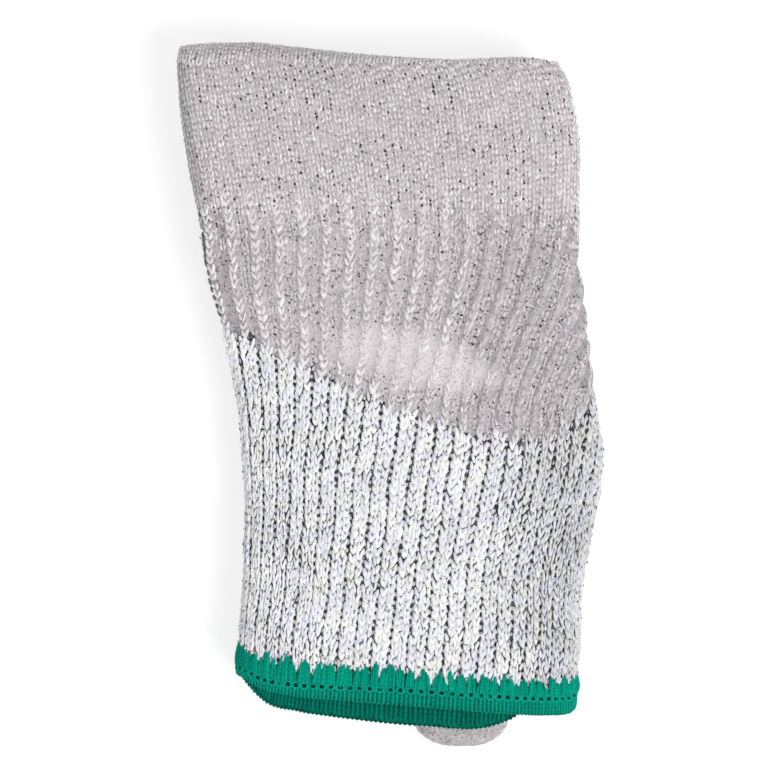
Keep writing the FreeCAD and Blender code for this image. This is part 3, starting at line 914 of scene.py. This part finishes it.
def ribLoops(spots, frames, pitch):
    here, along, across, normal = frames
    loop, count = ribMarks["loops"], len(here)
    line = turnedLine(along, across, rng.normal(0, 0.35, count))
    size = (rng.uniform(0.5, 0.75, count), rng.uniform(0.75, 1.15, count), loop["high"])
    at = here + across * (pitch * loop["off"] + rng.normal(0, 0.08, count))[:, None] - normal * loop["sink"]
    # painted shade: the loops deep between the ribs are darkened
    addSpots(spots, at, normal, line, size, 0.0, rng.uniform(0.5, 0.85, count))


def ribPieces(name, s0, s1, bodies, replaces, front=None):
    spots, frames, g, pitch, coat, patch = ribSpots(s0, s1, front)
    stitchPiece(name + "_stitches", spots, largeLeg, bodies, replaces)
    if front is False:
        return
    spots = emptySpots()
    shown = (g > 0.04) & (g < 0.93) & (coat > 0.3)
    ribBumps(spots, [f[shown] for f in frames])
    deep = (g < 1) & (coat < 0.5)
    ribLoops(spots, [f[deep] for f in frames], pitch[deep])
    chance = np.where((g > 0.03) & (g < 0.94), ribMarks["holes"]["share"], 0) * coat * (1 - patch)
    for off in ribMarks["holes"]["offs"]:
        addPits(spots, frames, chance, dict(ribMarks["hole"], off=off))
    for off, share, lift in ribMarks["specks"]:
        addPits(spots, frames, share * (1 - coat) * (g < 1), dict(ribMarks["speck"], off=off, lift=lift))
    stitchPiece(name + "_marks", spots, tinyLeg, bodies, ())


stitchPiece("wrist_plain_stitches", plainFront(wrist["from"], wrist["to"]), smallLeg, wristBend)
ribPieces("wrist_rib", 0, wrist["to"], wristBend, ())
ribPieces("cuff_front", wrist["to"], 200, ("cuff",), ("cuff_rib", "cuff_dip", "cuff_elastic"), True)
ribPieces("cuff_back", wrist["to"], 200, ("cuff",), (), False)
print("cuff and heel made")


# the ground under the stitches of the fold, the palm, the stalls and the thumb; a tip closes to a point, and the
# palm's far end closes flat, along a seam
def shellPiece(name, place, rows, side, bodies, coatOf, columns, step=0.35, flip=False, closed=None,
               thick=None):
    g, s = np.meshgrid(np.arange(columns) / columns * 2, rows)
    here, normal = framesOn(place, lambda v: g, s, side, step)[::3]
    coat = coatOf(g, s, here[..., 0], here[..., 1])
    deep = thick(s) if thick else 0 * s
    points = here + normal * mixed(-0.15, 0.06 + 0.2 * deep, coat)[..., None]
    if closed == "tip":
        points[-1] = points[-1].mean(0)
    if closed == "seam":
        facing = -np.arange(columns) % columns
        points[-1] = (points[-2] + points[-2][facing]) / 2 + (points[-1] - points[-2]).mean(0)
        coat[-2:] = 1  # pale where it shows between the fingers
    values = {"coat": coat, "thick": 0 * s, "tint": 1 - 0.06 * deep}
    return finished(tubeMesh(name, points, flip, values), bodies, material=ground)


def handCoat(wale, s, x, y):
    return palmCoat(wale)


foldBodies = ("hand", "heel", (0, foldLine["y"], foldLine["start"]), (0, foldLine["y"], foldLine["end"]))
shellPiece("fold_film", foldPlace, np.linspace(0, 1, 25), -1, foldBodies, handCoat, shell["tube"],
           0.02)
spots = emptySpots()
frames, wale, s = plainSpots(spots, foldPlace, plainKnit["wales"], (np.arange(13) + 0.5) / 13, -1,
                             handCoat, backLegs, 0.02)
addPits(spots, frames, np.where(wale < 1, drift(frames[0][:, 0], s * 4), 0),
        dict(pinhole, wide=0.36, long=0.46))
stitchPiece("fold_stitches", spots, smallLeg, foldBodies, ("fold_web",))

shellPiece("palm_film", handPlace, np.append(np.linspace(0, 66, 61), 66.3), -1, ("hand",), handCoat,
           shell["palm"], closed="seam")
spots = emptySpots()
plainSpots(spots, handPlace, plainKnit["wales"], np.arange(0.8, 66, plainKnit["hiddenCourse"]), -1,
           handCoat, hiddenLegs)
stitchPiece("palm_stitches", spots, tinyLeg, ("hand",), ("palm_knit", "palm_dip"))
print("fold and palm made")

# fingers and thumb: each stall's place and size, and its joints' distances from where it leaves the palm
fingers = {
    "index": {"x": 32.65, "width": 15.4, "length": 67.0, "dome": 7.5, "joints": (0, 28.54, 49.04), "wales": 27},
    "middle": {"x": 15.1, "width": 20.6, "length": 80.2, "dome": 7.0, "joints": (0, 33.58, 57.68), "wales": 32},
    "ring": {"x": -4.45, "width": 16.8, "length": 70.0, "dome": 7.5, "joints": (0, 29.8, 51.2), "wales": 29},
    "little": {"x": -21.45, "width": 15.6, "length": 56.0, "dome": 7.5, "joints": (0, 23.92, 41.12), "wales": 27},
}
fingerShape = {"y": 4.4, "height": 8.8, "turn": 0.0, "face": -1, "lift": 0.05}
thumb = {"x": 35.0, "y": 46.4, "width": 18.6, "length": 58.0, "turn": -math.radians(80), "joints": (0, 30.36),
         "wales": 30, "height": 7.0, "dome": 8.0, "face": 1, "lift": 0.1, "seed": 55}


# the two bodies of a joint, and the stretch of the stall over which it bends
def bentAt(body, nextBody, stall, joint, reach):
    def spot(s):
        return (stall["x"] + s * math.sin(stall["turn"]), stall["y"] - s * math.cos(stall["turn"]), 0.0)
    return (body, nextBody, spot(joint - reach), spot(joint + reach))


# one stall, cut into pieces midway between its joints, so that each piece spans one joint
def makeStall(name, stall, cuts, seed, side):
    place = stallPlace(stall)
    body = stall["length"] - stall["dome"]
    end = body + stall["dome"] * (math.pi / 2 - 0.06)
    dipped = stall["length"] - 13.0

    def coatOf(wale, s, x, y):
        return np.maximum(palmCoat(wale), smoothStep(dipped - 1.2, dipped + 1.2, s + 0.8 * ripple(seed, 4, x, y)))

    # the dip gathers in a thicker film on the tip
    def pooled(s):
        return smoothStep(body - 2, stall["length"] - stall["dome"] * 0.5, s)

    # fewer stitches fit where the tip closes
    def spaced(s):
        return (s < stall["length"] - stall["dome"] * 0.45) | (np.arange(len(s)) % 2 == 0)
    rows = np.arange(cuts[0]["from"] + 0.8, end, plainKnit["hiddenCourse"])
    for cut in cuts:
        last = min(cut["to"], end)
        pieceRows = np.linspace(cut["from"], last, max(int(last - cut["from"]), 2) + 1)
        shellPiece(f"{name}_{cut['name']}_film", place, pieceRows, side, cut["bodies"], coatOf,
                   shell["stall"], flip=side > 0, closed="tip" if last == end else None, thick=pooled)
        spots = emptySpots()
        inside = rows[(rows >= cut["from"]) & (rows < cut["to"])]
        plainSpots(spots, place, stall["wales"], inside, side, coatOf, hiddenLegs, keep=spaced)
        stitchPiece(f"{name}_{cut['name']}_stitches", spots, tinyLeg, cut["bodies"],
                    (f"{name}_{cut['name']}_knit", f"{name}_{cut['name']}_dip"))
    print(name, "made")


bones = ("root", "mid", "tip")
for order, (name, stall) in enumerate(fingers.items()):
    stall.update(fingerShape, seed=50 + order)
    bodies = ["hand"] + [f"{name}_{bone}" for bone in bones]
    joints = stall["joints"]
    edges = [-4.0, (joints[0] + joints[1]) / 2, (joints[1] + joints[2]) / 2, stall["length"] + 9]
    makeStall(name, stall, [
        {"name": bone, "from": edges[k], "to": edges[k + 1],
         "bodies": bentAt(bodies[k], bodies[k + 1], stall, joints[k], 6.0 if bone == "root" else 7.0)}
        for k, bone in enumerate(bones)
    ], 60 + order, -1)

# the thumb's palm side faces up, against the palm
middle = thumb["joints"][1] / 2
makeStall("thumb", thumb, [
    {"name": "root", "from": 1.0, "to": middle, "bodies": ("thumb_root",)},
    {"name": "tip", "from": middle, "to": 80,
     "bodies": bentAt("thumb_root", "thumb_tip", thumb, thumb["joints"][1], 7.0)},
], 66, 1)

# the knit that turns from the palm's edge round to the thumb
elbow = {"x": 34.95, "y": 46.4, "z": 7.6, "wide": 8.6, "outer": 7.2, "gap": 0.25, "squash": 0.62, "inward": 14,
         "wales": 28, "bend": 3.8}
elbowAcross, elbowLevel = sectionRow(-1, 1, -1, 1, (5.0, 5.0))


# turn runs from 0 at the palm to 1 at the thumb, and below 0 it reaches into the palm
def elbowPlace(g, turn):
    g, turn = np.broadcast_arrays(np.asarray(g, float) % 2, np.asarray(turn, float))
    column = np.round(g / 2 * len(elbowAcross)).astype(int) % len(elbowAcross)
    radius = elbow["gap"] + (elbowLevel[column] + 1) / 2 * elbow["outer"]
    angle = np.clip(turn, 0, 1) * math.pi
    inward = np.maximum(-turn, 0) * elbow["inward"] + np.maximum(turn - 1, 0) * elbow["inward"]
    return np.stack([elbow["x"] + radius * elbow["squash"] * np.sin(angle) - inward,
                     elbow["y"] + elbowAcross[column] * elbow["wide"],
                     elbow["z"] + radius * np.cos(angle)], -1)


elbowBodies = ("hand", "thumb_root", (elbow["x"], elbow["y"], elbow["z"] + elbow["bend"]),
               (elbow["x"], elbow["y"], elbow["z"] - elbow["bend"]))
shellPiece("thumb_web_film", elbowPlace, np.linspace(0, 1, 17), 1, elbowBodies, handCoat, shell["stall"],
           0.02, flip=True)
shellPiece("thumb_gusset_film", elbowPlace, np.linspace(-0.45, 0, 7), 1, ("hand",), handCoat, shell["stall"],
           0.02, flip=True)
for name, rows, bodies, replaces, slot in (
        ("thumb_web_stitches", (np.arange(11) + 0.5) / 11, elbowBodies, ("thumb_web",), "crease_knit"),
        ("thumb_gusset_stitches", np.linspace(-0.4, -0.05, 4), ("hand",), (), "plain_knit")):
    spots = emptySpots()
    plainSpots(spots, elbowPlace, elbow["wales"], rows, 1, handCoat, backLegs, 0.02)
    stitchPiece(name, spots, smallLeg, bodies, replaces)

# the hem: band and chain are how far their edges lie from the raw edge, round the ring
hem = {
    "band": [(0, 5.5), (0.3, 6.7), (0.7, 6.9), (1, 6.4), (1.5, 6.2), (2, 5.5)],
    "chain": [(0, 0.9), (0.3, 1.9), (0.7, 2.7), (1, 2.8), (1.5, 1.9), (2, 0.9)],
    "groups": 92, "strands": 4, "holes": 80, "cords": 92, "edge": cuffSize["end"],
    # (past the raw edge, off the fabric): out over the face, round the edge and back inside
    "profile": [(-5.5, -0.15), (-4.6, 0.15), (-2.0, 0.42), (-0.4, 0.45), (0.35, 0.1), (0.6, -0.65), (0.35, -1.4),
                (-0.4, -1.75), (-2.5, -1.75), (-5.2, -1.45)],
}
rngHem = np.random.default_rng(17)
knitLining = shadedMaterial("knit_lining", "#b9b8bc", "#5c5b60", 0.5)


def hemRing(wale):
    return ringOf(wale % 1, hem["edge"])


def onHem(wale, back):
    return framesOn(cuffPlace, lambda at: ringOf(wale % 1, at), hem["edge"] - back, 1)


def threadPiece(name, spots, shape, replaces, seed):
    stitchPiece(name, spots, shape, ("cuff",), replaces, thread, seed)


# inside of the cuff, seen through its mouth
def cuffLining():
    g, s = np.meshgrid(np.arange(240) / 240 * 2, np.linspace(52, hem["edge"] - 0.2, 70))
    here, normal = framesOn(cuffPlace, lambda v: g, s, 1)[::3]
    lining = tubeMesh("cuff_lining", here - normal * cuffSize["wall"], False, {"coat": 0 * g})
    finished(lining, ("cuff",), material=knitLining)


# green ground under the threads
def hemGround():
    g, row = np.meshgrid(np.arange(480) / 480 * 2, np.arange(len(hem["profile"])))
    back, out = np.array(hem["profile"])[row].transpose(2, 0, 1)
    here, normal = framesOn(cuffPlace, lambda v: g, hem["edge"] + back, 1)[::3]
    band = tubeMesh("hem_ground", here + normal * out[..., None], True, {"tint": 1 + 0 * g})
    finished(band, ("cuff",), material=threadGround)


# overlock threads: each group fans in to a tooth on the outer face
def hemFan():
    spots = emptySpots()
    count = hem["groups"] * hem["strands"]
    group, ply = np.divmod(np.arange(count), hem["strands"])
    spread = (ply - (hem["strands"] - 1) / 2) / hem["strands"]
    toothLean = rngHem.normal(0, 0.12, hem["groups"])[group]
    toothHigh = 1 + rngHem.normal(0, 0.08, hem["groups"])[group]
    foot = (group + 0.5 + spread + rngHem.normal(0, 0.04, count)) / hem["groups"]
    crown = (group + 0.5 + spread * 0.8 + toothLean + rngHem.normal(0, 0.06, count)) / hem["groups"]
    chain = flowing(hem["chain"], hemRing(foot))
    peak = flowing(hem["band"], hemRing(foot)) * toothHigh * (1 - 0.16 * np.abs(spread * 2 - toothLean) ** 1.3)
    peak = peak + rngHem.normal(0, 0.22, count)
    low, high = onHem(foot, chain), onHem(crown, peak)
    line = low[0] - high[0]
    length = np.linalg.norm(line, axis=1)
    normal = unit(low[3] + high[3])
    at = (low[0] + high[0]) / 2 + normal * 0.22
    size = (0.72, length * 1.12, 0.75 + rngHem.normal(0, 0.12, count))
    addSpots(spots, at, normal, unit(line), size, 1.0, 1 + rngHem.normal(0, 0.1, count))
    threadPiece("hem_fan", spots, strandLeg, ("hem_overlock",), 3)


# parallel cords from the chain over the edge and up the inner face, darker where the front shades them
def hemCords():
    spots = emptySpots()
    count = hem["cords"] * 2
    wale = (np.arange(count) + 0.5) / count
    chain = flowing(hem["chain"], hemRing(wale))
    behind = smoothStep(1.02, 1.1, hemRing(wale)) * smoothStep(2.0, 1.94, hemRing(wale))
    for back, out, long, wide, side, shade in (
            (chain / 2, 0.2, chain + 1.5, 0.8, 1, 0.92),
            (2.7 + 0 * wale, -1.72, 5.6, 0.85, -1, mixed(0.9, 0.62, behind))):
        here, along, across, normal = onHem(wale, back)
        size = (wide, long, 0.5 + rngHem.normal(0, 0.04, count))
        shade = shade + rngHem.normal(0, 0.06, count)
        addSpots(spots, here + normal * out, normal * side, along, size, 1.0, shade)
    here, along, across, normal = onHem(wale, 0 * wale - 0.35)
    addSpots(spots, here - normal * 0.65, along, normal, (0.85, 2.3, 0.5), 1.0, mixed(0.9, 0.7, behind))
    threadPiece("hem_cords", spots, strandLeg, (), 4)


# the locking chain: loops along the edge, each round a hole painted near black for the shade in it
def hemChain():
    spots = emptySpots()
    count = hem["holes"]
    wale = (np.arange(count) + 0.5) / count
    chain = flowing(hem["chain"], hemRing(wale))
    here, along, across, normal = onHem(wale, chain)
    addSpots(spots, here + normal * 0.6, normal, along, (2.35, 1.9, 1.15), 1.0, 1 + rngHem.normal(0, 0.05, count))
    threadPiece("hem_loops", spots, chainLoop, ("hem_chain",), 5)
    spots = emptySpots()
    here, along, across, normal = onHem(wale, chain + 0.1 + rngHem.normal(0, 0.1, count))
    widest = 0.95 + 0.5 * smoothStep(0.6, 0.45, np.abs(hemRing(wale) - 0.35) * 2)
    size = (widest * rngHem.uniform(0.7, 1.2, count), 0.75 + 0.25 * widest, 0.2)
    # painted shade: the holes inside the loops are near black
    addSpots(spots, here + normal * 0.52, normal, along, size, 1.0, 0.08)
    threadPiece("hem_holes", spots, strandLeg, (), 6)


cuffLining()
hemGround()
hemFan()
hemCords()
hemChain()
print("hem made")

for shape in (largeLeg, smallLeg, tinyLeg, strandLeg, chainLoop):
    bpy.data.objects.remove(shape)

# floor, lights and camera, in metres and watts
studio = {
    "floor": {"size": 6, "drop": 0.0006, "grey": 0.45, "glow": 0.62}, "sky": 0.6,
    "lights": {"key_light": ((0.45, -0.35, 0.95), 0.6, 8.5), "fill_light": ((-0.2, 0.1, 1.2), 1.0, 1.5)},
    "camera": {"x": -0.00075, "y": 0.0012, "top": 0.020, "away": 1.3, "frame": 0.1653, "sensor": 36},
}


# pale matt studio floor, bright enough to take only soft shadows
def studioFloor():
    size, drop, grey, glow = studio["floor"].values()
    material, tree = startMaterial("pale_floor")
    surface = addNode(tree, "ShaderNodeBsdfPrincipled", {
        "Base Color": (grey, grey, grey, 1), "Roughness": 0.9, "Specular IOR Level": 0.1,
        "Emission Color": (1, 1, 1, 1), "Emission Strength": glow})
    addNode(tree, "ShaderNodeOutputMaterial", {"Surface": surface.outputs[0]})
    bpy.ops.mesh.primitive_plane_add(size=size, location=(0, 0, -drop))
    floor = bpy.context.object
    floor.name = "floor"
    floor.data.materials.append(material)
    floor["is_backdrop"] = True


def softLight(name, place, size, power):
    data = bpy.data.lights.new(name, "AREA")
    data.shape = "DISK"
    data.size = size
    data.energy = power
    light = bpy.data.objects.new(name, data)
    bpy.context.scene.collection.objects.link(light)
    light.location = place
    light.rotation_euler = (-light.location).to_track_quat("-Z", "Y").to_euler()


def paleSky():
    world = bpy.data.worlds.new("studio")
    world.use_nodes = True
    background = world.node_tree.nodes["Background"]
    background.inputs["Color"].default_value = (1, 1, 1, 1)
    background.inputs["Strength"].default_value = studio["sky"]
    bpy.context.scene.world = world
    bpy.context.scene.view_settings.view_transform = "Standard"


# straight above the glove, far enough off to keep its outline nearly flat
def cameraAbove():
    view = studio["camera"]
    camera = bpy.data.cameras.new("camera")
    camera.sensor_width = view["sensor"]
    camera.lens = view["sensor"] * view["away"] / view["frame"]
    eye = bpy.data.objects.new("camera", camera)
    eye.location = (view["x"], view["y"], view["top"] + view["away"])
    bpy.context.scene.collection.objects.link(eye)
    bpy.context.scene.camera = eye


studioFloor()
for name, (place, size, power) in studio["lights"].items():
    softLight(name, place, size, power)
paleSky()
cameraAbove()
print("studio made")

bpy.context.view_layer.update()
counts = sorted((len(o.data.polygons) * 2, o.name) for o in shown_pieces())
print("triangles", sum(c[0] for c in counts), counts[-6:])
